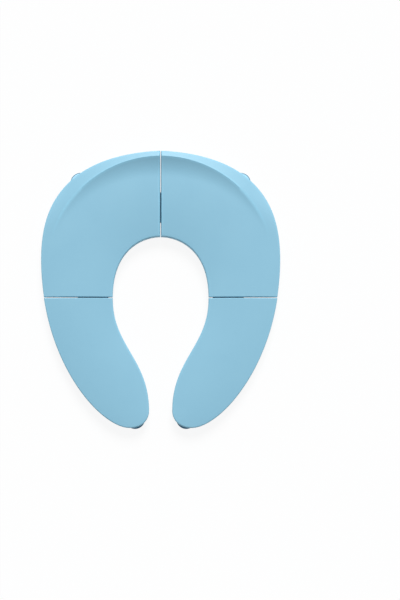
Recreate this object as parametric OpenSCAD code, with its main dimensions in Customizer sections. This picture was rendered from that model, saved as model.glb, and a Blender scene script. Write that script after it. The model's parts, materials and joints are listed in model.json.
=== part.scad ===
// Folding travel toilet seat: four hollow panels on three link hinges, with pins and round pads.
// X runs to the right, Y to the back and Z up. The origin is on the floor under the seat's middle.

/* [Outline] */
// Overall width of the open seat
seat_w = 300; // [290:1:320]
// Overall length of the open seat
seat_l = 349; // [340:1:370]
// Fold line of the arms, measured from the middle of the length
fold_y = -11; // [-14:1:-7]
// Width of the hole, which is widest at the fold line
hole_w = 120; // [112:1:126]
// Back edge of the hole, measured from the middle of the length
hole_back = 66; // [62:1:69]
// Gap between the two arm tips
tip_gap = 28.8; // [28.6:0.2:32]
// Gap between two panels at a fold
fold_gap = 1.5; // [1.4:0.1:2]

/* [Panels] */
// Height of a panel at its edges
edge_h = 8.8; // [8.4:0.1:9.4]
// Height of a panel at its crown
crown_h = 11.3; // [11:0.1:12]
// Rounding of a panel's top edges
edge_r = 1.4; // [1:0.1:2]
// Rise of the back rim over the crowned surface
rim_h = 6.5; // [4:0.5:8]
// Radius of the rim's crest, seen from above
rim_r = 143; // [140:0.5:144]
// Thickness of the seat skin
skin = 2.4; // [2:0.1:2.6]
// Thickness of the side walls, end walls and ribs
wall = 2.2; // [1.8:0.1:2.6]

/* [Hinges] */
// Diameter of every hinge pin
pin_d = 3; // [2.6:0.1:3.2]
// Length of the link plates
link_l = 38.4; // [34:0.2:40]
// Distance from a side fold to each of its two pins
side_pivot = 4; // [3.8:0.1:4.2]
// Distance from the centre fold to each of its two pins
center_pivot = 10.6; // [10:0.1:10.6]

/* [Pads] */
// Diameter of the round pads
pad_d = 25; // [22:0.5:25]
// Height of the pads under the panels
pad_h = 5.5; // [5.2:0.1:6]

/* [Hidden] */
$fn = 48;

// Colours
shell_color = "#8fc1d9";
link_color = "#6f9fb8";
pin_color = "#b8bcc0";
pad_color = "#b4d3dd";

// Limits of the outline and of the fold gaps
half_w = seat_w / 2;
half_l = seat_l / 2;
half_hole = hole_w / 2;
half_gap = fold_gap / 2;
half_tip_gap = tip_gap / 2;
fold_in = 4;
fold_x = half_w - fold_in;
tip_x = 38.5;
tip_l = 22.3;
tip_y = tip_l - half_l;
tip_back = 1.2;
arm_end = tip_back - half_l;

// Pull of the outer curves: swell, side and shoulder of a rear panel, then lean, side and front of an arm
rear_swell = 9;
rear_side = 91;
shoulder_in = 3.5;
shoulder_drop = 6.5;
arm_lean = 15.3;
arm_side = 98.8;
arm_front = 70.8;
// Pull of the inner curves: round and flat back of the hole, its front, the neck of an arm and its tip
hole_round = 12;
hole_flat = 18;
hole_front = 60.3;
arm_neck = 64.4;
tip_side = 8.2;
tip_flat = 18.6;

// Cubic curves of the right half, from the fold line to the back and to the front tip
rear_edge = [
    [fold_x, fold_y + half_gap],
    [half_w + rear_swell, fold_y + rear_side],
    [half_w - shoulder_in, half_l - shoulder_drop],
    [half_gap, half_l]
];
rear_hole = [
    [half_hole, fold_y + half_gap],
    [half_hole, hole_back - hole_round],
    [hole_flat, hole_back],
    [half_gap, hole_back]
];
arm_edge = [
    [fold_x, fold_y - half_gap],
    [fold_x - arm_lean, fold_y - arm_side],
    [arm_front, arm_end],
    [tip_x, arm_end]
];
arm_hole = [
    [half_hole, fold_y - half_gap],
    [half_hole, fold_y - hole_front],
    [half_tip_gap, tip_y + arm_neck],
    [half_tip_gap, tip_y]
];
arm_tip = [
    [half_tip_gap, tip_y],
    [half_tip_gap, tip_y - tip_side],
    [tip_x - tip_flat, arm_end],
    [tip_x, arm_end]
];
// Share of the arm's stations that lies before the rounded tip, and the ends of the arm and its hollow
tip_from = 0.75;
tip_end = 0.97;
hollow_end = 0.88;

// Cross-section of a panel: width from which the crown is full, and the stations and points of the loft
full_crown_w = 85;
stations = 20;
snap_step = 0.01;
edge_steps = [0, 0.3, 1];
inner_steps = [0.1, 0.24, 0.38, 0.52, 0.66, 0.78, 0.87, 0.94, 1];
outer_step = 0.5;

// Back rim: centre of its crest, width of the slope inside it, slope of the flank outside it, the stations
// where the rim starts and where the flank starts and is full, and how early the rim rises
rim_mid = 24.5;
rim_center = [0, rim_mid];
rim_slope_w = 26;
flank_slope = 0.31;
rim_from = 0.34;
flank_from = 0.3;
flank_full = 0.62;
rim_ease = 0.85;
// Place of the unused crest on an arm, as a share of its width
arm_crest = 0.8;

// Heights: underside of the panels, depths that hollows and cuts start under it, how far a cut runs past an
// edge, the closed stack and the pin axes
base_z = pad_h;
under = 3;
cut_low = 4;
low_z = base_z - cut_low;
over = 1;
stack_clear = 0.3;
side_pin_z = base_z + side_pivot - stack_clear;
center_pin_z = base_z - 3 * stack_clear - crown_h + center_pivot;

// Hinge fits
pin_r = pin_d / 2;
pin_fit = 0.02;
run_clear = 0.05;
pin_slack = 0.2;
side_play = 0.2;
link_clear = 0.4;
swing_clear = 0.15;
cheek = 4;
cheek_l = 10;
side_link_r = 2.6;
side_link_x = 84.5;
center_link_r = 3;
center_link_y = 104;
lug_r = 3;
lug_up = 4;
lug_key = 0.5;
pin_l = link_l + 2 * side_play + 2 * cheek;

// Pads: stem, socket and places on the right half
stem_r = 3;
stem_l = 4.5;
stem_clear = 0.05;
stem_slack = 0.3;
boss_r = 5.2;
pad_round = 1.5;
back_pad_x = 101.5;
back_pad_in = 38.5;
side_pad_x = 103;
side_pad_in = 36;
arm_pad_x = 88;
arm_pad_in = 89;
tip_pad_x = 31.9;
tip_pad_in = 12.55;
back_pad = [back_pad_x, half_l - back_pad_in];
side_pad = [side_pad_x, fold_y + side_pad_in];
arm_pad = [arm_pad_x, fold_y - arm_pad_in];
tip_pad = [tip_pad_x, tip_pad_in - half_l];

// Ribs under the panels: angles of the rear ribs about the fold, distances of the arm ribs from it
rear_ribs = [29, 58];
arm_ribs = [62, 118];
far = 260;

// Value kept to the step of the lofts' points, so that upright walls stay upright
function snap(v) = round(v / snap_step) * snap_step;

// Point between a and b at height z
function point(a, b, s, z) = let (p = a + (b - a) * s) [snap(p[0]), snap(p[1]), snap(z)];

// Point of a cubic curve
function curve(p, t) =
    pow(1 - t, 3) * p[0] + 3 * pow(1 - t, 2) * t * p[1] + 3 * (1 - t) * t * t * p[2] + t * t * t * p[3];

// Inner edge of an arm: the long sweep, then the rounded tip
function arm_inner(t) =
    t < tip_from ? curve(arm_hole, t / tip_from) : curve(arm_tip, (t - tip_from) / (1 - tip_from));

// Soft step from 0 to 1
function soft(v) = let (c = min(1, max(0, v))) c * c * (3 - 2 * c);

// How far the back rim has risen at a station, and how far its flank falls there
function rim_at(t) = pow(max(0, (t - rim_from) / (1 - rim_from)), rim_ease);
function flank_at(t) = soft((t - flank_from) / (flank_full - flank_from));

// Where the rim's crest circle crosses a section from a to b, as a share of its width
function crest_at(a, b) =
    let (d = b - a, f = a - rim_center, along = f * d / (d * d), miss = (f * f - rim_r * rim_r) / (d * d))
        min(1 - 2 * edge_r / norm(d), sqrt(along * along - miss) - along);

// Back rim over the width: its rise up to the crest, and the flank that falls outside it
function rim(s, crest, w, rise) = rim_h * pow(max(0, rise - max(0, crest - s) * w / rim_slope_w), 2);
function flank(s, crest, w, fall) = flank_slope * fall * max(0, s - crest) * w;

// How far the rounded edge lies under the surface at a distance d from the edge
function rounding(d) = d < edge_r ? edge_r - sqrt(edge_r * edge_r - pow(edge_r - d, 2)) : 0;

// Share of the full crown on a section of width w: a narrow section is flatter
function crown_at(w) = pow(min(1, w / full_crown_w), 2);

// Height of the top surface over the underside
function top_h(s, crest, w, rise, fall) =
    edge_h + (crown_h - edge_h) * crown_at(w) * (1 - pow(2 * s - 1, 2))
    + rim(s, crest, w, rise) - flank(s, crest, w, fall) - rounding(w * min(s, 1 - s));

// One closed cross-section from inner point a to outer point b, taken in by inset and lowered by drop
function section(a, b, crest, rise, fall, inset, drop, low) =
    let (
        w = norm(b - a),
        side = inset / w,
        round_w = edge_r / w,
        edge = [for (v = edge_steps) v * round_w],
        inner = [for (v = inner_steps) round_w + v * (crest - round_w)],
        outer = crest + outer_step * (1 - round_w - crest),
        far_edge = [for (i = [len(edge) - 1 : -1 : 0]) 1 - edge[i]],
        places = [for (s = concat(edge, inner, outer, far_edge)) side + s * (1 - 2 * side)]
    )
    concat(
        [point(a, b, side, base_z - low)],
        [for (s = places) point(a, b, s, base_z + top_h(s, crest, w, rise, fall) - drop)],
        [point(a, b, 1 - side, base_z - low)]
    );

// Solid through a row of cross-sections
module loft(rows) {
    n = len(rows[0]);
    last = len(rows) - 1;
    sides = [
        for (i = [0 : last - 1], j = [0 : n - 1])
            let (a = i * n + j, b = i * n + (j + 1) % n, c = b + n, d = a + n)
                each [[a, b, c], [a, c, d]]
    ];
    ends = [[for (j = [n - 1 : -1 : 0]) j], [for (j = [0 : n - 1]) last * n + j]];
    polyhedron(points = [for (r = rows) each r], faces = concat(sides, ends), convexity = 8);
}

// Right rear panel's outer shape, or its hollow when taken in and lowered
module rear_loft(inset, drop, low) {
    loft([
        for (i = [stations : -1 : 0])
            let (t = i / stations, a = curve(rear_hole, t), b = curve(rear_edge, t))
                section(a, b, crest_at(a, b), rim_at(t), flank_at(t), inset, drop, low)
    ]);
}

// Right arm's outer shape, or its hollow when taken in and lowered
module arm_loft(inset, drop, low, end) {
    loft([
        for (i = [0 : stations])
            let (t = end * i / stations)
                section(arm_inner(t), curve(arm_edge, t), arm_crest, 0, 0, inset, drop, low)
    ]);
}

// Frames with the fold line at y = 0 and the panel on its +Y side
module rear_frame() {
    translate([0, fold_y, 0])
        children();
}
module arm_frame() {
    translate([0, fold_y, 0])
        mirror([0, 1, 0])
            children();
}

// Left half from the right one
module left() {
    mirror([1, 0, 0])
        children();
}

// Round bar along X or along Y, centred on a point
module bar_x(at, r, l) {
    translate(at)
        rotate([0, 90, 0])
            cylinder(r = r, h = l, center = true);
}
module bar_y(at, r, l) {
    translate(at)
        rotate([90, 0, 0])
            cylinder(r = r, h = l, center = true);
}

// Material kept at the fold edge of a hollow: the end wall and the two cheeks that hold the pin
module fold_edge_walls() {
    translate([-over, -over, low_z])
        cube([far, over + half_gap + wall, far]);
    for (side = [-1, 1])
        translate([side_link_x + side * (link_l / 2 + side_play + cheek / 2) - cheek / 2, 0, low_z])
            cube([cheek, cheek_l, far]);
}

// Cuts at the fold edge: room for the link, the pin's bore and the lower corner turned about the pin
module fold_edge_cuts() {
    top = side_pin_z + side_link_r + link_clear;
    translate([side_link_x - link_l / 2 - side_play, -over, low_z])
        cube([link_l + 2 * side_play, 2 * over + half_gap + wall, top - low_z]);
    bar_x([side_link_x, side_pivot, side_pin_z], pin_r + pin_fit, pin_l + pin_slack);
    difference() {
        translate([0, -over, low_z])
            cube([far, side_pivot + over, side_pin_z - low_z]);
        bar_x([0, side_pivot, side_pin_z], side_pivot - swing_clear, 2 * (far + over));
    }
}

// Places of the two lugs along the centre fold
module at_lugs() {
    for (side = [-1, 1])
        translate([center_pivot, center_link_y + side * (link_l / 2 + side_play + cheek / 2), 0])
            mirror([0, side < 0 ? 1 : 0, 0])
                children();
}

// Lug that hangs under a rear panel and holds a centre pin
module lug() {
    bar_y([0, 0, center_pin_z], lug_r, cheek);
    translate([-lug_r, -cheek / 2, center_pin_z])
        cube([2 * lug_r, cheek, base_z - center_pin_z + lug_up]);
}

// Post kept in the hollow over a lug
module lug_post() {
    translate([-lug_r - lug_key, -cheek / 2 + lug_key, low_z])
        cube([2 * (lug_r + lug_key), cheek, far]);
}

// Cuts at the centre fold: room for the link, and the pin's bore
module center_cuts() {
    top = center_pin_z + center_link_r + link_clear;
    translate([-over, center_link_y - link_l / 2 - side_play, low_z])
        cube([2 * over + half_gap + wall, link_l + 2 * side_play, top - low_z]);
    bar_y([center_pivot, center_link_y, center_pin_z], pin_r + pin_fit, pin_l + pin_slack);
}

// Bosses that the pads' stems go into, and their sockets
module bosses(places) {
    for (p = places)
        translate([p[0], p[1], low_z])
            cylinder(r = boss_r, h = far);
}
module sockets(places) {
    for (p = places)
        translate([p[0], p[1], low_z])
            cylinder(r = stem_r + stem_clear, h = base_z - low_z + stem_l + stem_slack);
}

module rear_hollow() {
    difference() {
        rear_loft(wall, skin, under);
        rear_frame()
            fold_edge_walls();
        translate([-over, fold_y, low_z])
            cube([over + half_gap + wall, far, far]);
        for (a = rear_ribs)
            translate([0, fold_y, low_z])
                rotate(a)
                    translate([0, -wall / 2, 0])
                        cube([far, wall, far]);
        at_lugs()
            lug_post();
        bosses([back_pad, side_pad]);
    }
}

module rear_right() {
    difference() {
        union() {
            difference() {
                rear_loft(0, 0, 0);
                rear_hollow();
            }
            at_lugs()
                lug();
        }
        rear_frame()
            fold_edge_cuts();
        center_cuts();
        sockets([back_pad, side_pad]);
    }
}

module arm_hollow() {
    difference() {
        arm_loft(wall, skin, under, hollow_end);
        arm_frame()
            fold_edge_walls();
        for (d = arm_ribs)
            translate([0, fold_y - d - wall / 2, low_z])
                cube([far, wall, far]);
        bosses([arm_pad, tip_pad]);
    }
}

module arm_right() {
    difference() {
        arm_loft(0, 0, 0, tip_end);
        arm_hollow();
        arm_frame()
            fold_edge_cuts();
        sockets([arm_pad, tip_pad]);
    }
}

// Link plate along X over a fold at y = 0, with a running bore for each pin
module side_link() {
    difference() {
        union() {
            for (side = [-1, 1])
                bar_x([side_link_x, side * side_pivot, side_pin_z], side_link_r, link_l);
            translate([side_link_x - link_l / 2, -side_pivot, side_pin_z - side_link_r])
                cube([link_l, 2 * side_pivot, 2 * side_link_r]);
        }
        for (side = [-1, 1])
            bar_x([side_link_x, side * side_pivot, side_pin_z], pin_r + run_clear, link_l + 2 * over);
    }
}

module center_link() {
    difference() {
        union() {
            for (side = [-1, 1])
                bar_y([side * center_pivot, center_link_y, center_pin_z], center_link_r, link_l);
            translate([-center_pivot, center_link_y - link_l / 2, center_pin_z - center_link_r])
                cube([2 * center_pivot, link_l, 2 * center_link_r]);
        }
        for (side = [-1, 1])
            bar_y([side * center_pivot, center_link_y, center_pin_z], pin_r + run_clear, link_l + 2 * over);
    }
}

// Pins of a side fold and of the centre fold
module side_pin() {
    bar_x([side_link_x, side_pivot, side_pin_z], pin_r, pin_l);
}
module center_pin() {
    bar_y([center_pivot, center_link_y, center_pin_z], pin_r, pin_l);
}

// Round pad with a soft lower edge, and the stem that fills its socket
module pad(at) {
    translate([at[0], at[1], 0])
        rotate_extrude() {
            square([pad_d / 2 - pad_round, pad_h]);
            translate([0, pad_round])
                square([pad_d / 2, pad_h - pad_round]);
            translate([pad_d / 2 - pad_round, pad_round])
                circle(pad_round);
            translate([0, pad_round])
                square([stem_r, pad_h - pad_round + stem_l]);
        }
}

module rear_left_panel() { color(shell_color) left() rear_right(); }
module rear_right_panel() { color(shell_color) rear_right(); }
module front_left_arm() { color(shell_color) left() arm_right(); }
module front_right_arm() { color(shell_color) arm_right(); }
module center_hinge_link() { color(link_color) center_link(); }
module left_hinge_link() { color(link_color) left() rear_frame() side_link(); }
module right_hinge_link() { color(link_color) rear_frame() side_link(); }
module center_left_pin() { color(pin_color) left() center_pin(); }
module center_right_pin() { color(pin_color) center_pin(); }
module left_rear_pin() { color(pin_color) left() rear_frame() side_pin(); }
module left_front_pin() { color(pin_color) left() arm_frame() side_pin(); }
module right_rear_pin() { color(pin_color) rear_frame() side_pin(); }
module right_front_pin() { color(pin_color) arm_frame() side_pin(); }
module left_back_pad() { color(pad_color) left() pad(back_pad); }
module right_back_pad() { color(pad_color) pad(back_pad); }
module left_side_pad() { color(pad_color) left() pad(side_pad); }
module right_side_pad() { color(pad_color) pad(side_pad); }
module left_arm_pad() { color(pad_color) left() pad(arm_pad); }
module right_arm_pad() { color(pad_color) pad(arm_pad); }
module left_tip_pad() { color(pad_color) left() pad(tip_pad); }
module right_tip_pad() { color(pad_color) pad(tip_pad); }

rear_left_panel();
rear_right_panel();
front_left_arm();
front_right_arm();
center_hinge_link();
left_hinge_link();
right_hinge_link();
center_left_pin();
center_right_pin();
left_rear_pin();
left_front_pin();
right_rear_pin();
right_front_pin();
left_back_pad();
right_back_pad();
left_side_pad();
right_side_pad();
left_arm_pad();
right_arm_pad();
left_tip_pad();
right_tip_pad();
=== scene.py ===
import json
import math

import bmesh
import bpy
import numpy as np
from mathutils import Matrix, Vector


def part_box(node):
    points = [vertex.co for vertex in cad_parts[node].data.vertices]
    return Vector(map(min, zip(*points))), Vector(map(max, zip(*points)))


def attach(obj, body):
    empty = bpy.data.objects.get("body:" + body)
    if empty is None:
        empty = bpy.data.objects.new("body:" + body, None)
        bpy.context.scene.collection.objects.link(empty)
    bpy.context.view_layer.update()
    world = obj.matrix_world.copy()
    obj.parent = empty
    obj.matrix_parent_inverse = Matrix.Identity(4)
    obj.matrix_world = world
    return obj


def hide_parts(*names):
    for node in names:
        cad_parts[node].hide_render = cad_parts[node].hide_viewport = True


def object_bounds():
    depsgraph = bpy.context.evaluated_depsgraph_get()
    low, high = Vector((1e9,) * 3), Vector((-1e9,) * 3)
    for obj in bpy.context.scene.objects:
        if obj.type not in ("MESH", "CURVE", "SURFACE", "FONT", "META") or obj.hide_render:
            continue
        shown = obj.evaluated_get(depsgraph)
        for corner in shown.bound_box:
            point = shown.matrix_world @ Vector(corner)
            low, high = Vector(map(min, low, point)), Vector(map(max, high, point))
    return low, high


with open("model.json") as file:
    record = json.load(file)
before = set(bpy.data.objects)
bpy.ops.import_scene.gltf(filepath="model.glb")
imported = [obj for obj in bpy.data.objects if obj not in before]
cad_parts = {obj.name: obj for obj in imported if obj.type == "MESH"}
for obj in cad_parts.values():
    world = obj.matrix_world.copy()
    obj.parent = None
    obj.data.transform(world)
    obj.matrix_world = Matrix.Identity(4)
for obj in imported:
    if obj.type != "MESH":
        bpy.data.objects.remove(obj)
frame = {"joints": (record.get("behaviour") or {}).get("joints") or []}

cad_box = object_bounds()

# Rear panels: the two hollow quarter shells that carry the child's weight at the back. Each is moulded in
# one shot from pale blue polypropylene, with the raised back rim, the ribs, the pad sockets, and the
# cheeks and lugs that hold the hinge pins.
MM = 0.001
TINY = 1e-9
WELD = 1e-7
CLEAN_WELD = 2e-6
OUTLINE_STEPS = 240
PIVOTS = {joint["name"]: Vector(joint["pos_m"]) for joint in frame["joints"]}
BASE_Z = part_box("front_right_arm")[0][2]
FOLD_Y = (PIVOTS["right_arm_fold"].y + PIVOTS["right_arm_fold_far"].y) / 2
HALF_GAP = 0.75 * MM
HALF_W = 149.94 * MM
HALF_L = cad_box[1][1]
FOLD_X = HALF_W - 4 * MM
HOLE_R = 60 * MM
HOLE_BACK = 66 * MM
EDGE_H = 8.8 * MM
CROWN_H = 11.3 * MM
EDGE_R = 1.4 * MM
FOLD_EDGE_R = 0.5 * MM
FOLD_DRAFT = (0.3 * MM, 0.2 * MM)
SKIN = 2.4 * MM
WALL = 2.2 * MM
FULL_CROWN_W = 85 * MM
RIM_H = 6.47 * MM
RIM_R = 143 * MM
RIM_CENTER = np.array([0, 24.5 * MM])
RIM_SLOPE_W = 26 * MM
RIM_FROM = 0.30
RIM_EASE = 0.7
FLANK_SLOPE = 0.31
FLANK_FADE = (0.3, 0.62)
REAR_EDGE = np.array([
    (FOLD_X, FOLD_Y + HALF_GAP),
    (HALF_W + 9 * MM, FOLD_Y + 91 * MM),
    (HALF_W - 3.5 * MM, HALF_L - 6.5 * MM),
    (HALF_GAP, HALF_L),
])
REAR_HOLE = np.array([
    (HOLE_R, FOLD_Y + HALF_GAP),
    (HOLE_R, HOLE_BACK - 12 * MM),
    (18 * MM, HOLE_BACK),
    (HALF_GAP, HOLE_BACK),
])


def curve(points, t):
    """Points of a cubic curve at the places t."""
    t = np.asarray(t)[:, None]
    u = 1 - t
    return u**3 * points[0] + 3 * u * u * t * points[1] + 3 * u * t * t * points[2] + t**3 * points[3]


def edge_distance(xy, outline):
    """Distance in plan from each point to the nearest stretch of an outline."""
    start, step = outline[:-1], np.diff(outline, axis=0)
    reach = np.maximum((step**2).sum(1), TINY**2)
    away = xy[:, None, :] - start[None]
    along = np.clip((away * step).sum(2) / reach, 0, 1)
    return np.sqrt(((away - along[:, :, None] * step) ** 2).sum(2)).min(1)


def rounding(gap, radius):
    """How far a rounded edge lies under the surface at a distance from the edge."""
    inside = np.clip(radius - gap, 0, radius)
    return radius - np.sqrt(radius**2 - inside**2)


def rim_crest(a, b):
    """Where the rim's crest circle crosses each section from a to b, as a share of its width."""
    d, f = b - a, a - RIM_CENTER
    size = (d**2).sum(1)
    along = (f * d).sum(1) / size
    crest = np.sqrt(along**2 - ((f**2).sum(1) - RIM_R**2) / size) - along
    return np.minimum(crest, 1 - 2 * EDGE_R / np.sqrt(size))


def rim_height(s, crest, width, rise, fall):
    """Height that the back rim and the flank outside its crest add to the crowned surface."""
    slope = np.maximum(0, rise - np.maximum(0, crest - s) * width / RIM_SLOPE_W)
    return RIM_H * slope**2 - FLANK_SLOPE * fall * np.maximum(0, s - crest) * width


def solid(name, bm):
    """New object from a bmesh."""
    mesh = bpy.data.meshes.new(name)
    bm.to_mesh(mesh)
    bm.free()
    piece = bpy.data.objects.new(name, mesh)
    bpy.context.collection.objects.link(piece)
    return piece


def lofted(name, inner, outer, crest, rim, rows, columns, low, inset=0.0, drop=0.0, ends=()):
    """Closed shell between two plan curves: a grid over the plan, drawn up to the crowned surface."""
    a, b = inner(rows), outer(rows)
    width = np.sqrt(((b - a) ** 2).sum(1))
    flat = np.maximum(width, 4 * EDGE_R)
    round_s = EDGE_R / flat
    middle = np.minimum(crest, 1 - 1.5 * round_s)
    marks = np.stack([0 * flat, round_s, middle, 1 - round_s, 0 * flat + 1], 1)
    s = np.stack([np.interp(columns, range(5), m) for m in marks])
    side = (inset / flat)[:, None]
    s = side + s * (1 - 2 * side)
    xy = a[:, None] + s[:, :, None] * (b - a)[:, None]
    fine = np.linspace(0, rows[-1], OUTLINE_STEPS)
    outline = np.concatenate([inner(fine), outer(fine)[::-1]])
    gap = edge_distance(xy.reshape(-1, 2), outline).reshape(s.shape)
    gap[s < TINY] = 0
    gap[s > 1 - TINY] = 0
    crown = np.minimum(1, width / FULL_CROWN_W)[:, None] ** 2 * (1 - (2 * s - 1) ** 2)
    top = EDGE_H + (CROWN_H - EDGE_H) * crown
    rise, fall = rim
    top += rim_height(s, crest[:, None], width[:, None], rise[:, None], fall[:, None])
    top -= rounding(gap, EDGE_R)
    for axis, place in ends:
        top -= rounding(np.abs(xy[:, :, axis] - place), FOLD_EDGE_R)
    bm = bmesh.new()
    bmesh.ops.create_grid(bm, x_segments=len(columns) - 1, y_segments=len(rows) - 1, size=0.5)
    height = bm.verts.layers.float.new("height")
    for v in bm.verts:
        i = round((v.co.x + 0.5) * (len(columns) - 1))
        j = round((v.co.y + 0.5) * (len(rows) - 1))
        v[height] = BASE_Z + top[j, i] - drop
        v.co = (*xy[j, i], BASE_Z - low)
    foot = bm.verts[:]
    raised = bmesh.ops.extrude_face_region(bm, geom=bm.faces[:], use_keep_orig=True)["geom"]
    for v in raised:
        if isinstance(v, bmesh.types.BMVert):
            v.co.z = v[height]
    for axis, place in ends:
        lean = math.copysign(FOLD_DRAFT[axis], (0, FOLD_Y)[axis] - place)
        for v in foot:
            if abs(v.co[axis] - place) < WELD:
                v.co[axis] += lean
    bm.verts.layers.float.remove(height)
    bmesh.ops.remove_doubles(bm, verts=bm.verts[:], dist=WELD)
    bmesh.ops.recalc_face_normals(bm, faces=bm.faces[:])
    return solid(name, bm)


def block(low, high):
    """Box between two corners."""
    low, high = Vector(low), Vector(high)
    bm = bmesh.new()
    bmesh.ops.create_cube(bm, size=1, matrix=Matrix.LocRotScale((low + high) / 2, None, high - low))
    return solid("block", bm)


def rod(at, along, radius, length, segments=64):
    """Round bar centred on a point, along an axis."""
    turn = Vector((0, 0, 1)).rotation_difference(Vector(along)).to_matrix().to_4x4()
    bm = bmesh.new()
    bmesh.ops.create_cone(
        bm, cap_ends=True, segments=segments, radius1=radius, radius2=radius, depth=length,
        matrix=Matrix.Translation(at) @ turn,
    )
    return solid("rod", bm)


def work(piece, tool, how):
    """Cuts a tool out of a piece, or welds it on, and throws the tool away."""
    step = piece.modifiers.new(how, "BOOLEAN")
    step.operation, step.solver, step.object = how, "MANIFOLD", tool
    done = piece.evaluated_get(bpy.context.evaluated_depsgraph_get())
    mesh = bpy.data.meshes.new_from_object(done)
    piece.modifiers.clear()
    old, piece.data = piece.data, mesh
    bpy.data.meshes.remove(old)
    bpy.data.objects.remove(tool)


FAR = 400 * MM
LOW_Z = BASE_Z - 4 * MM
LINK_L = 38.4 * MM
PLAY = 0.2 * MM
CHEEK = 4 * MM
CHEEK_L = 10 * MM
PIN_R = 1.5 * MM
PIN_FIT = 0.02 * MM
PIN_L = LINK_L + 2 * PLAY + 2 * CHEEK
SIDE_LINK_R = 2.6 * MM
CENTER_LINK_R = 3 * MM
LINK_CLEAR = 0.4 * MM
SWING_CLEAR = 0.15 * MM
SWING_SIDES = 128
LUG_R = 3 * MM
LUG_UP = 4 * MM
LUG_KEY = 0.5 * MM
BOSS_R = 5.2 * MM
BOSS_L = 100 * MM
SOCKET_R = 3.05 * MM
SOCKET_L = 4.8 * MM


def fold_edge_kept(hollow, pivot, toward):
    """Leaves the end wall of a fold edge and the two cheeks beside the link standing in a hollow."""
    near = FOLD_Y + toward * (HALF_GAP + WALL)
    deep = FOLD_Y + toward * CHEEK_L
    out = FOLD_Y - toward * MM
    work(hollow, block((-MM, min(out, near), LOW_Z), (FAR, max(out, near), FAR)), "DIFFERENCE")
    for side in (-1, 1):
        x = pivot.x + side * (LINK_L / 2 + PLAY + CHEEK / 2)
        cheek = block((x - CHEEK / 2, min(out, deep), LOW_Z), (x + CHEEK / 2, max(out, deep), FAR))
        work(hollow, cheek, "DIFFERENCE")


def fold_edge_cut(shell, pivot, toward):
    """Cuts a fold edge: room for the link, the pin's bore, and the lower corner turned about the pin."""
    half = LINK_L / 2 + PLAY
    deep = FOLD_Y + toward * (HALF_GAP + WALL + MM)
    out = FOLD_Y - toward * MM
    room = block(
        (pivot.x - half, min(out, deep), LOW_Z),
        (pivot.x + half, max(out, deep), pivot.z + SIDE_LINK_R + LINK_CLEAR),
    )
    work(shell, room, "DIFFERENCE")
    work(shell, rod(pivot, (1, 0, 0), PIN_R + PIN_FIT, PIN_L + PLAY), "DIFFERENCE")
    corner = block((0, min(out, pivot.y), LOW_Z), (FAR, max(out, pivot.y), pivot.z))
    swing = abs(pivot.y - FOLD_Y) - SWING_CLEAR
    work(corner, rod((0, pivot.y, pivot.z), (1, 0, 0), swing, 3 * FAR, SWING_SIDES), "DIFFERENCE")
    work(shell, corner, "DIFFERENCE")


def sockets(shell, places):
    """Drills the sockets that take the pads' stems."""
    for x, y in places:
        top = BASE_Z + SOCKET_L
        work(shell, rod((x, y, (LOW_Z + top) / 2), (0, 0, 1), SOCKET_R, top - LOW_Z), "DIFFERENCE")


def moulded(piece, crease=32):
    """Soft shading everywhere but over true corners."""
    bm = bmesh.new()
    bm.from_mesh(piece.data)
    bmesh.ops.remove_doubles(bm, verts=bm.verts[:], dist=CLEAN_WELD)
    for face in bm.faces:
        face.smooth = True
    for edge in bm.edges:
        edge.smooth = len(edge.link_faces) == 2 and edge.calc_face_angle(0) < math.radians(crease)
    bm.to_mesh(piece.data)
    bm.free()


def mirrored(piece, name):
    """Left-hand copy of a right-hand piece."""
    mesh = piece.data.copy()
    mesh.transform(Matrix.Scale(-1, 4, (1, 0, 0)))
    mesh.flip_normals()
    mesh.name = name
    copy = bpy.data.objects.new(name, mesh)
    bpy.context.collection.objects.link(copy)
    return copy


def edge_wear_and_highlight(piece, full=20):
    """Marks how far each point lies on an outer edge, where hands rub the skin smooth and a painted
    highlight lightens it.
    """
    bm = bmesh.new()
    bm.from_mesh(piece.data)
    wear_and_sheen = bm.verts.layers.float.new("wear_and_sheen")
    for v in bm.verts:
        bend = max(e.calc_face_angle_signed(0) for e in v.link_edges)
        v[wear_and_sheen] = min(1, max(0, bend / math.radians(full)))
    bm.to_mesh(piece.data)
    bm.free()


def rear_inner(t):
    """Edge of the hole along a rear panel."""
    return curve(REAR_HOLE, t)


def rear_outer(t):
    """Outer edge of a rear panel."""
    return curve(REAR_EDGE, t)


def rear_loft(name, rows, columns, low, inset=0.0, drop=0.0, ends=()):
    """Rear panel, or its hollow, with the rim that rises towards the back."""
    fade = np.clip((rows - FLANK_FADE[0]) / (FLANK_FADE[1] - FLANK_FADE[0]), 0, 1)
    rim = np.maximum(0, (rows - RIM_FROM) / (1 - RIM_FROM)) ** RIM_EASE, fade * fade * (3 - 2 * fade)
    crest = rim_crest(rear_inner(rows), rear_outer(rows))
    return lofted(name, rear_inner, rear_outer, crest, rim, rows, columns, low, inset, drop, ends)


ROUND_STEPS = np.array([0, 0.05, 0.17, 0.34, 0.55, 0.78])
TOP_COLUMNS = np.concatenate([
    ROUND_STEPS,
    np.linspace(1, 2, 31),
    np.linspace(2, 3, 7)[1:],
    4 - ROUND_STEPS[::-1],
])
HOLLOW_COLUMNS = np.concatenate([[0], np.linspace(1, 2, 15), [2.5, 3, 4]])
HOLLOW_STEPS = 40
HOLLOW_LOW = 3 * MM
END_STEPS = np.array([0, 0.0002, 0.0005, 0.001, 0.0018, 0.003, 0.006])
REAR_ROWS = np.concatenate([END_STEPS, np.linspace(0.015, 0.985, 66), 1 - END_STEPS[::-1]])
REAR_ENDS = ((1, FOLD_Y + HALF_GAP), (0, HALF_GAP))
REAR_RIBS = (29, 58)
REAR_PADS = [(101.5 * MM, HALF_L - 38.5 * MM), (103 * MM, FOLD_Y + 36 * MM)]

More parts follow.
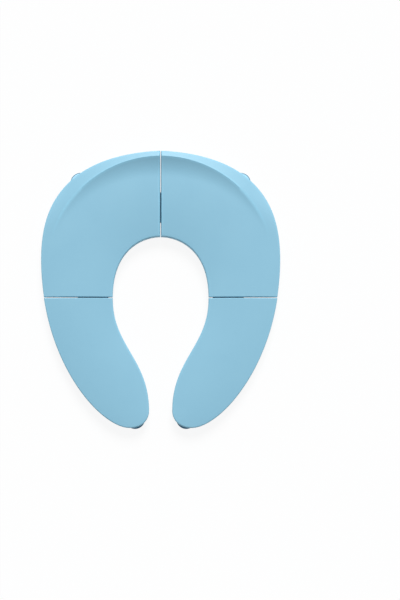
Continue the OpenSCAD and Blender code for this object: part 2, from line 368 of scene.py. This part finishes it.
rear_right = rear_loft("rear_right_shell", REAR_ROWS, TOP_COLUMNS, 0, ends=REAR_ENDS)
rear_slices = np.linspace(0, 1, HOLLOW_STEPS)
rear_hollow = rear_loft("rear_hollow", rear_slices, HOLLOW_COLUMNS, HOLLOW_LOW, WALL, SKIN)
fold_edge_kept(rear_hollow, PIVOTS["right_arm_fold"], 1)
work(rear_hollow, block((-MM, FOLD_Y, LOW_Z), (HALF_GAP + WALL, FAR, FAR)), "DIFFERENCE")
for angle in REAR_RIBS:
    rib = block((0, -WALL / 2, LOW_Z), (FAR, WALL / 2, FAR))
    rib.data.transform(Matrix.Translation((0, FOLD_Y, 0)) @ Matrix.Rotation(math.radians(angle), 4, "Z"))
    work(rear_hollow, rib, "DIFFERENCE")
for x, y in REAR_PADS:
    work(rear_hollow, rod((x, y, BASE_Z), (0, 0, 1), BOSS_R, BOSS_L), "DIFFERENCE")
center = PIVOTS["center_fold_far"]
for side in (-1, 1):
    y = center.y + side * (LINK_L / 2 + PLAY + CHEEK / 2 + LUG_KEY)
    post_r = LUG_R + LUG_KEY
    post = block((center.x - post_r, y - CHEEK / 2, LOW_Z), (center.x + post_r, y + CHEEK / 2, FAR))
    work(rear_hollow, post, "DIFFERENCE")
work(rear_right, rear_hollow, "DIFFERENCE")
for side in (-1, 1):
    y = center.y + side * (LINK_L / 2 + PLAY + CHEEK / 2)
    work(rear_right, rod((center.x, y, center.z), (0, 1, 0), LUG_R, CHEEK), "UNION")
    lug = block(
        (center.x - LUG_R, y - CHEEK / 2, center.z),
        (center.x + LUG_R, y + CHEEK / 2, BASE_Z + LUG_UP),
    )
    work(rear_right, lug, "UNION")
fold_edge_cut(rear_right, PIVOTS["right_arm_fold"], 1)
link_room = block(
    (-MM, center.y - LINK_L / 2 - PLAY, LOW_Z),
    (HALF_GAP + WALL + MM, center.y + LINK_L / 2 + PLAY, center.z + CENTER_LINK_R + LINK_CLEAR),
)
work(rear_right, link_room, "DIFFERENCE")
work(rear_right, rod(center, (0, 1, 0), PIN_R + PIN_FIT, PIN_L + PLAY), "DIFFERENCE")
sockets(rear_right, REAR_PADS)
moulded(rear_right)
edge_wear_and_highlight(rear_right)
rear_left = mirrored(rear_right, "rear_left_shell")


def finish_nodes(name):
    """New material with its shader and the object's own coordinates."""
    material = bpy.data.materials.new(name)
    material.use_nodes = True
    tree = material.node_tree
    shader = tree.nodes["Principled BSDF"]
    place = tree.nodes.new("ShaderNodeTexCoord")
    return material, tree, shader, place.outputs["Object"]


def noise(tree, place, scale, detail=2.0, rough=0.5):
    """Noise in the object's own coordinates."""
    node = tree.nodes.new("ShaderNodeTexNoise")
    node.inputs["Scale"].default_value = scale
    node.inputs["Detail"].default_value = detail
    node.inputs["Roughness"].default_value = rough
    tree.links.new(place, node.inputs["Vector"])
    return node.outputs["Fac"]


def ramp(tree, value, low, high, start=0.3, end=0.7):
    """Colour that goes from low to high with a value."""
    node = tree.nodes.new("ShaderNodeValToRGB")
    first, last = node.color_ramp.elements
    first.position, first.color = start, (*low, 1)
    last.position, last.color = end, (*high, 1)
    tree.links.new(value, node.inputs["Fac"])
    return node.outputs["Color"]


def span(tree, value, low, high):
    """A value mapped from 0 to 1 onto a range."""
    node = tree.nodes.new("ShaderNodeMapRange")
    node.inputs["To Min"].default_value = low
    node.inputs["To Max"].default_value = high
    tree.links.new(value, node.inputs["Value"])
    return node.outputs["Result"]


def own_value(tree, name):
    """Value that the piece's own points carry."""
    node = tree.nodes.new("ShaderNodeAttribute")
    node.attribute_name = name
    return node.outputs["Fac"]


def product(tree, first, second):
    """Two values multiplied."""
    node = tree.nodes.new("ShaderNodeMath")
    node.operation = "MULTIPLY"
    tree.links.new(first, node.inputs[0])
    tree.links.new(second, node.inputs[1])
    return node.outputs[0]


def toned(tree, share, under, over):
    """A colour that turns into another one by a share."""
    node = tree.nodes.new("ShaderNodeMix")
    node.data_type = "RGBA"
    factor, first, second = node.inputs[0], node.inputs[6], node.inputs[7]
    second.default_value = (*over, 1)
    tree.links.new(share, factor)
    tree.links.new(under, first)
    return node.outputs[2]


def bump(tree, shader, value, depth, strength=1.0):
    """Fine relief of a given depth in metres."""
    node = tree.nodes.new("ShaderNodeBump")
    node.inputs["Distance"].default_value = depth
    node.inputs["Strength"].default_value = strength
    tree.links.new(value, node.inputs["Height"])
    tree.links.new(node.outputs["Normal"], shader.inputs["Normal"])


SHELL_PALE = (0.270, 0.537, 0.687)
SHELL_DEEP = (0.258, 0.521, 0.673)
# Lighter blue for the outer edges: partly wear, partly a painted highlight where the rounded edges catch
# light.
SHELL_WORN_AND_SHEEN = (0.31, 0.67, 0.86)
SHELL_WEAR_AND_SHEEN = (0.2, 0.8)
SHELL_ROUGH = (0.46, 0.56)
SHELL_IOR = 1.49
SHELL_GRAIN = 0.03 * MM


def shell_finish():
    """Pale blue moulded polypropylene with a fine spark-eroded grain, and outer edges lighter from wear
    and a painted highlight.
    """
    material, tree, shader, place = finish_nodes("pale_blue_polypropylene")
    cloud = ramp(tree, noise(tree, place, 22, 3), SHELL_DEEP, SHELL_PALE)
    patches = span(tree, noise(tree, place, 260, 4), *SHELL_WEAR_AND_SHEEN)
    # Outer edges turn a lighter blue, part wear and part painted highlight.
    lightened_edge_share = product(tree, own_value(tree, "wear_and_sheen"), patches)
    tree.links.new(toned(tree, lightened_edge_share, cloud, SHELL_WORN_AND_SHEEN), shader.inputs["Base Color"])
    tree.links.new(span(tree, noise(tree, place, 140, 4), *SHELL_ROUGH), shader.inputs["Roughness"])
    shader.inputs["IOR"].default_value = SHELL_IOR
    bump(tree, shader, noise(tree, place, 2600, 3, 0.6), SHELL_GRAIN, 0.35)
    return material


shell_plastic = shell_finish()
for piece, side in ((rear_right, "right"), (rear_left, "left")):
    piece.data.materials.clear()
    piece.data.materials.append(shell_plastic)
    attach(piece, f"rear_{side}")
    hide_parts(f"rear_{side}_panel")

# Front arms: the two hollow arms that reach forward on both sides of the hole and end in rounded tips.
# They are moulded from the same polypropylene as the rear panels and meet them at the side folds.
TIP_X = 38.5 * MM
TIP_R = 14.4 * MM
TIP_Y = 22.3 * MM - HALF_L
ARM_END = 1.2 * MM - HALF_L
TIP_FROM = 0.75
ARM_EDGE = np.array([
    (FOLD_X, FOLD_Y - HALF_GAP),
    (FOLD_X - 15.3 * MM, FOLD_Y - 98.8 * MM),
    (70.8 * MM, ARM_END),
    (TIP_X, ARM_END),
])
ARM_HOLE = np.array([
    (HOLE_R, FOLD_Y - HALF_GAP),
    (HOLE_R, FOLD_Y - 60.3 * MM),
    (TIP_R, TIP_Y + 64.4 * MM),
    (TIP_R, TIP_Y),
])
ARM_TIP = np.array([
    (TIP_R, TIP_Y),
    (TIP_R, TIP_Y - 8.2 * MM),
    (TIP_X - 18.6 * MM, ARM_END),
    (TIP_X, ARM_END),
])
ARM_CREST = 0.8
ARM_RIBS = (62 * MM, 118 * MM)
ARM_PADS = [(88 * MM, FOLD_Y - 89 * MM), (31.9 * MM, 12.55 * MM - HALF_L)]
TIP_ROWS = np.linspace(0.94, 0.9964, 15)
ARM_ROWS = np.concatenate([END_STEPS, np.linspace(0.015, 0.93, 60), TIP_ROWS])
ARM_ENDS = ((1, FOLD_Y - HALF_GAP),)
HOLLOW_END = 0.88


def arm_inner(t):
    """Edge of the hole along an arm, and on round its tip."""
    sweep = curve(ARM_HOLE, np.clip(t / TIP_FROM, 0, 1))
    tip = curve(ARM_TIP, np.clip((t - TIP_FROM) / (1 - TIP_FROM), 0, 1))
    return np.where((t < TIP_FROM)[:, None], sweep, tip)


def arm_outer(t):
    """Outer edge of an arm."""
    return curve(ARM_EDGE, t)


def arm_loft(name, rows, columns, low, inset=0.0, drop=0.0, ends=()):
    """Arm, or its hollow, with no rim."""
    crest = np.full(len(rows), ARM_CREST)
    no_rim = (0 * rows, 0 * rows)
    return lofted(name, arm_inner, arm_outer, crest, no_rim, rows, columns, low, inset, drop, ends)


front_right = arm_loft("front_right_shell", ARM_ROWS, TOP_COLUMNS, 0, ends=ARM_ENDS)
arm_slices = np.linspace(0, HOLLOW_END, HOLLOW_STEPS)
arm_hollow = arm_loft("arm_hollow", arm_slices, HOLLOW_COLUMNS, HOLLOW_LOW, WALL, SKIN)
fold_edge_kept(arm_hollow, PIVOTS["right_arm_fold_far"], -1)
for distance in ARM_RIBS:
    y = FOLD_Y - distance
    work(arm_hollow, block((0, y - WALL / 2, LOW_Z), (FAR, y + WALL / 2, FAR)), "DIFFERENCE")
for x, y in ARM_PADS:
    work(arm_hollow, rod((x, y, BASE_Z), (0, 0, 1), BOSS_R, BOSS_L), "DIFFERENCE")
work(front_right, arm_hollow, "DIFFERENCE")
fold_edge_cut(front_right, PIVOTS["right_arm_fold_far"], -1)
sockets(front_right, ARM_PADS)
moulded(front_right)
edge_wear_and_highlight(front_right)
front_left = mirrored(front_right, "front_left_shell")
for piece, side in ((front_right, "right"), (front_left, "left")):
    piece.data.materials.clear()
    piece.data.materials.append(shell_plastic)
    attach(piece, f"front_{side}")
    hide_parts(f"front_{side}_arm")

# Hinge links: three plates of darker blue acetal that bridge the fold gaps between two pins each. They
# are moulded with round ends, so that they turn inside the panels' cheeks.
LINK_EDGE = 0.4 * MM
LINK_ROUND = 0.999
RUN_CLEAR = 0.05 * MM
CORNER = math.radians(60)
LINK_BLUE = (0.130, 0.285, 0.400)
LINK_BLUE_DEEP = (0.115, 0.260, 0.375)
LINK_ROUGH = (0.34, 0.46)
LINK_GRAIN = 0.02 * MM


def link_plate(name, first, second, along, radius):
    """Plate with round ends between two pin axes, bored for the pins."""
    middle = (first + second) / 2
    reach = second - first
    size = Vector([abs(part) + 2 * radius for part in reach])
    size[along] = LINK_L
    bm = bmesh.new()
    bmesh.ops.create_cube(bm, size=1, matrix=Matrix.LocRotScale(middle, None, size))
    long_edges = [e for e in bm.edges if abs((e.verts[0].co - e.verts[1].co)[along]) > LINK_L / 2]
    round_off = radius * LINK_ROUND
    bmesh.ops.bevel(
        bm, geom=long_edges, offset=round_off, segments=16, profile=0.5, affect="EDGES", material=-1
    )
    rims = [e for e in bm.edges if len(e.link_faces) == 2 and e.calc_face_angle(0) > CORNER]
    bmesh.ops.bevel(
        bm, geom=rims, offset=LINK_EDGE, segments=3, profile=0.5, affect="EDGES", material=-1
    )
    bmesh.ops.recalc_face_normals(bm, faces=bm.faces[:])
    plate = solid(name, bm)
    axis = [0, 0, 0]
    axis[along] = 1
    for at in (first, second):
        work(plate, rod(at, axis, PIN_R + RUN_CLEAR, 2 * LINK_L), "DIFFERENCE")
    moulded(plate)
    return plate


def link_finish():
    """Darker blue acetal, smoother than the shells."""
    material, tree, shader, place = finish_nodes("slate_blue_acetal")
    blue = ramp(tree, noise(tree, place, 60, 3), LINK_BLUE_DEEP, LINK_BLUE)
    tree.links.new(blue, shader.inputs["Base Color"])
    tree.links.new(span(tree, noise(tree, place, 400, 3), *LINK_ROUGH), shader.inputs["Roughness"])
    bump(tree, shader, noise(tree, place, 1800, 2), LINK_GRAIN, 0.3)
    return material


link_plastic = link_finish()
LINKS = (("center", 1, CENTER_LINK_R), ("left", 0, SIDE_LINK_R), ("right", 0, SIDE_LINK_R))
for side, along, radius in LINKS:
    fold = "center_fold" if side == "center" else f"{side}_arm_fold"
    plate = link_plate(f"{side}_link_plate", PIVOTS[fold], PIVOTS[fold + "_far"], along, radius)
    plate.data.materials.clear()
    plate.data.materials.append(link_plastic)
    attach(plate, f"{side}_link")
    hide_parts(f"{side}_hinge_link")

# Hinge pins: six drawn steel pins with rounded ends. Each is pressed into the cheeks or lugs of one panel,
# and the link turns on it.
PIN_END_R = 0.35 * MM
PIN_SIDES = 48
PIN_STEEL = (0.56, 0.57, 0.58)
PIN_STEEL_DARK = (0.47, 0.48, 0.49)
PIN_ROUGH = (0.24, 0.38)
PIN_GRAIN = 0.01 * MM
ACROSS_LINES = 6000.0
ALONG_LINES = 120.0


def pin_finish(along):
    """Drawn steel with fine lines along the pin."""
    material, tree, shader, place = finish_nodes(f"drawn_steel_{'xyz'[along]}")
    stretch = tree.nodes.new("ShaderNodeMapping")
    scale = [ACROSS_LINES] * 3
    scale[along] = ALONG_LINES
    stretch.inputs["Scale"].default_value = scale
    tree.links.new(place, stretch.inputs["Vector"])
    lines = noise(tree, stretch.outputs["Vector"], 1, 3)
    tree.links.new(ramp(tree, lines, PIN_STEEL_DARK, PIN_STEEL), shader.inputs["Base Color"])
    tree.links.new(span(tree, lines, *PIN_ROUGH), shader.inputs["Roughness"])
    shader.inputs["Metallic"].default_value = 1.0
    bump(tree, shader, lines, PIN_GRAIN, 0.4)
    return material


pin_steel = [pin_finish(0), pin_finish(1)]
PINS = (
    ("center_left_pin", "center_fold", 1, "rear_left"),
    ("center_right_pin", "center_fold_far", 1, "rear_right"),
    ("left_rear_pin", "left_arm_fold", 0, "rear_left"),
    ("left_front_pin", "left_arm_fold_far", 0, "front_left"),
    ("right_rear_pin", "right_arm_fold", 0, "rear_right"),
    ("right_front_pin", "right_arm_fold_far", 0, "front_right"),
)
for node, fold, along, body in PINS:
    axis = [0, 0, 0]
    axis[along] = 1
    pin = rod(PIVOTS[fold], axis, PIN_R, PIN_L, PIN_SIDES)
    pin.name = pin.data.name = f"{node}_steel"
    bm = bmesh.new()
    bm.from_mesh(pin.data)
    rims = [e for e in bm.edges if e.calc_face_angle(0) > CORNER]
    bmesh.ops.bevel(
        bm, geom=rims, offset=PIN_END_R, segments=3, profile=0.5, affect="EDGES", material=-1
    )
    bm.to_mesh(pin.data)
    bm.free()
    moulded(pin)
    pin.data.materials.append(pin_steel[along])
    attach(pin, body)
    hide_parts(node)

# Pads: eight round anti-slip feet of soft, milky silicone. Each is moulded with a rounded rim, grip rings
# underneath and a stem that is pushed into its socket. Their top rims, under the shell's edge, carry
# painted shade, darkest under the arm tips.
PAD_R = 12.5 * MM
PAD_TOP = BASE_Z
PAD_ROUND = 1.5 * MM
PAD_LIP = 0.6 * MM
STEM_R = 3 * MM
STEM_L = 4.5 * MM
GRIP_RINGS = (2.6 * MM, 5.0 * MM, 7.4 * MM)
GRIP_W = 0.5 * MM
GRIP_D = 0.5 * MM
SILICONE = (0.50, 0.78, 0.92)
SILICONE_DEEP = (0.46, 0.74, 0.88)
# Painted shade for the pads' top rims, which sit in the shade under the shell's edge.
SILICONE_PAINTED_SHADE = (0.025, 0.145, 0.25)
PAINTED_SHADE_FADE = 0.5 * MM
PAINTED_SHADE_DOWN = (2.6 * MM, 1 * MM)
PAD_ROUGH = (0.38, 0.5)
PAD_IOR = 1.41
PAD_CLEAR = 0.05
PAD_GRAIN = 0.03 * MM
PAD_CREASE = 40


def arc(center, radius, start, end, steps):
    """Points of an arc in the pad's profile."""
    angles = np.radians(np.linspace(start, end, steps))
    return [(center[0] + radius * math.cos(a), center[1] + radius * math.sin(a)) for a in angles]


def pad(name, x, y, shade_share, shade_w):
    """Pad turned from its profile about its own axis, with a share of painted shade round its top rim."""
    profile = [(0, GRIP_D)]
    for ring in GRIP_RINGS:
        profile += [(ring - GRIP_W, GRIP_D), (ring, 0), (ring + GRIP_W, 0), (ring + 2 * GRIP_W, GRIP_D)]
    profile += [(PAD_R - PAD_ROUND - 2 * GRIP_W, GRIP_D), (PAD_R - PAD_ROUND - GRIP_W, 0)]
    profile += arc((PAD_R - PAD_ROUND, PAD_ROUND), PAD_ROUND, -90, 0, 7)
    profile += [(PAD_R, PAD_TOP - down) for down in PAINTED_SHADE_DOWN]
    profile += arc((PAD_R - PAD_LIP, PAD_TOP - PAD_LIP), PAD_LIP, 0, 90, 5)
    profile += [(PAD_R - shade_w, PAD_TOP), (PAD_R - shade_w - PAINTED_SHADE_FADE, PAD_TOP)]
    profile += [(STEM_R, PAD_TOP), (STEM_R, PAD_TOP + STEM_L - PAD_LIP)]
    profile += [(STEM_R - PAD_LIP, PAD_TOP + STEM_L), (0, PAD_TOP + STEM_L)]
    bm = bmesh.new()
    line = [bm.verts.new((x + r, y, z)) for r, z in profile]
    edges = [bm.edges.new(pair) for pair in zip(line, line[1:])]
    bmesh.ops.spin(
        bm, geom=line + edges, cent=(x, y, 0), axis=(0, 0, 1), angle=2 * math.pi, steps=64, use_merge=True
    )
    bmesh.ops.remove_doubles(bm, verts=bm.verts[:], dist=WELD)
    bmesh.ops.recalc_face_normals(bm, faces=bm.faces[:])
    painted_shade = bm.verts.layers.float.new("painted_shade")
    for v in bm.verts:
        reach = math.hypot(v.co.x - x, v.co.y - y) - (PAD_R - shade_w - PAINTED_SHADE_FADE)
        height = v.co.z - (PAD_TOP - PAINTED_SHADE_DOWN[0])
        outward = np.clip(reach / PAINTED_SHADE_FADE, 0, 1)
        upward = np.clip(height / (PAINTED_SHADE_DOWN[0] - PAINTED_SHADE_DOWN[1]), 0, 1)
        v[painted_shade] = shade_share * outward * upward
    piece = solid(name, bm)
    moulded(piece, PAD_CREASE)
    return piece


def pad_finish():
    """Milky silicone: a soft, slightly see-through rubber with a satin skin, and painted shade on the top
    rims.
    """
    material, tree, shader, place = finish_nodes("milky_silicone")
    milk = ramp(tree, noise(tree, place, 90, 3), SILICONE_DEEP, SILICONE)
    # Painted shade: the top rims and the upper wall turn dark slate blue.
    shaded_milk = toned(tree, own_value(tree, "painted_shade"), milk, SILICONE_PAINTED_SHADE)
    tree.links.new(shaded_milk, shader.inputs["Base Color"])
    tree.links.new(span(tree, noise(tree, place, 500, 3), *PAD_ROUGH), shader.inputs["Roughness"])
    shader.inputs["IOR"].default_value = PAD_IOR
    shader.inputs["Transmission Weight"].default_value = PAD_CLEAR
    bump(tree, shader, noise(tree, place, 1500, 2), PAD_GRAIN, 0.3)
    return material


silicone = pad_finish()
# Share of painted shade and width of the painted band on top, per pad place.
PADS = (
    ("back", REAR_PADS[0], "rear", 0.85, 0.8 * MM),
    ("side", REAR_PADS[1], "rear", 0.85, 0.8 * MM),
    ("arm", ARM_PADS[0], "front", 0.85, 0.8 * MM),
    ("tip", ARM_PADS[1], "front", 0.9, 2.0 * MM),
)
for kind, (x, y), half, shade_share, shade_w in PADS:
    for side, sign in (("left", -1), ("right", 1)):
        foot = pad(f"{side}_{kind}_foot", sign * x, y, shade_share, shade_w)
        foot.data.materials.append(silicone)
        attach(foot, f"{half}_{side}")
        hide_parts(f"{side}_{kind}_pad")

# Stage: a white floor that keeps a faint shadow, a large soft light from the back right, soft light from
# all round, and a camera high over the seat.
FLOOR_SIZE = 12.0
FLOOR_WHITE = (0.96, 0.96, 0.96, 1)
FLOOR_GLOW = 0.9
FILL_LIGHT = (0.285, 0.30, 0.315)
BACK_LIGHT = 3.2
BACK_LIGHT_SPREAD = 30
BACK_LIGHT_AT = (0.17, 1.5, 1.30)
IMAGE_W, IMAGE_H = 400, 600
SEAT_PX = (160.65, 288.65)
VIEW_H = 0.7498
CAMERA_FAR = 1.9
CAMERA_TILT = 6.2
SENSOR = 36.0


def seen_ray(tree):
    """1 for rays from the camera and for mirrored or transmitted ones, 0 for light on the object."""
    path = tree.nodes.new("ShaderNodeLightPath")
    total = path.outputs["Is Camera Ray"]
    for name in ("Is Glossy Ray", "Is Transmission Ray"):
        node = tree.nodes.new("ShaderNodeMath")
        node.operation = "MAXIMUM"
        tree.links.new(total, node.inputs[0])
        tree.links.new(path.outputs[name], node.inputs[1])
        total = node.outputs[0]
    return total


bm = bmesh.new()
bmesh.ops.create_grid(bm, x_segments=1, y_segments=1, size=FLOOR_SIZE / 2)
floor = solid("floor", bm)
paper = bpy.data.materials.new("white_floor")
paper.use_nodes = True
tree = paper.node_tree
tree.nodes.remove(tree.nodes["Principled BSDF"])
matt = tree.nodes.new("ShaderNodeBsdfDiffuse")
matt.inputs["Color"].default_value = FLOOR_WHITE
glow = tree.nodes.new("ShaderNodeEmission")
share = tree.nodes.new("ShaderNodeMath")
share.operation = "MULTIPLY"
share.inputs[1].default_value = FLOOR_GLOW
tree.links.new(seen_ray(tree), share.inputs[0])
mix = tree.nodes.new("ShaderNodeMixShader")
tree.links.new(share.outputs[0], mix.inputs["Fac"])
tree.links.new(matt.outputs[0], mix.inputs[1])
tree.links.new(glow.outputs[0], mix.inputs[2])
tree.links.new(mix.outputs[0], tree.nodes["Material Output"].inputs["Surface"])
floor.data.materials.append(paper)

world = bpy.data.worlds.new("studio")
world.use_nodes = True
tree = world.node_tree
sky = tree.nodes["Background"]
tree.links.new(ramp(tree, seen_ray(tree), FILL_LIGHT, (1, 1, 1), 0, 1), sky.inputs["Color"])
bpy.context.scene.world = world

light = bpy.data.lights.new("back_light", "SUN")
light.energy = BACK_LIGHT
light.angle = math.radians(BACK_LIGHT_SPREAD)
lamp = bpy.data.objects.new("back_light", light)
lamp.location = BACK_LIGHT_AT
lamp.rotation_euler = (-Vector(BACK_LIGHT_AT)).to_track_quat("-Z", "Y").to_euler()
bpy.context.collection.objects.link(lamp)

target = Vector((0, 0, BASE_Z + EDGE_H))
tilt = math.radians(CAMERA_TILT)
lens = bpy.data.cameras.new("camera")
lens.sensor_fit = "VERTICAL"
lens.sensor_height = SENSOR
lens.lens = SENSOR * CAMERA_FAR / VIEW_H
lens.shift_x = (IMAGE_W / 2 - SEAT_PX[0]) / IMAGE_H
lens.shift_y = (SEAT_PX[1] - IMAGE_H / 2) / IMAGE_H
camera = bpy.data.objects.new("camera", lens)
camera.location = target + CAMERA_FAR * Vector((0, -math.sin(tilt), math.cos(tilt)))
camera.rotation_euler = (tilt, 0, 0)
bpy.context.collection.objects.link(camera)
bpy.context.scene.camera = camera
bpy.context.scene.view_settings.view_transform = "Standard"
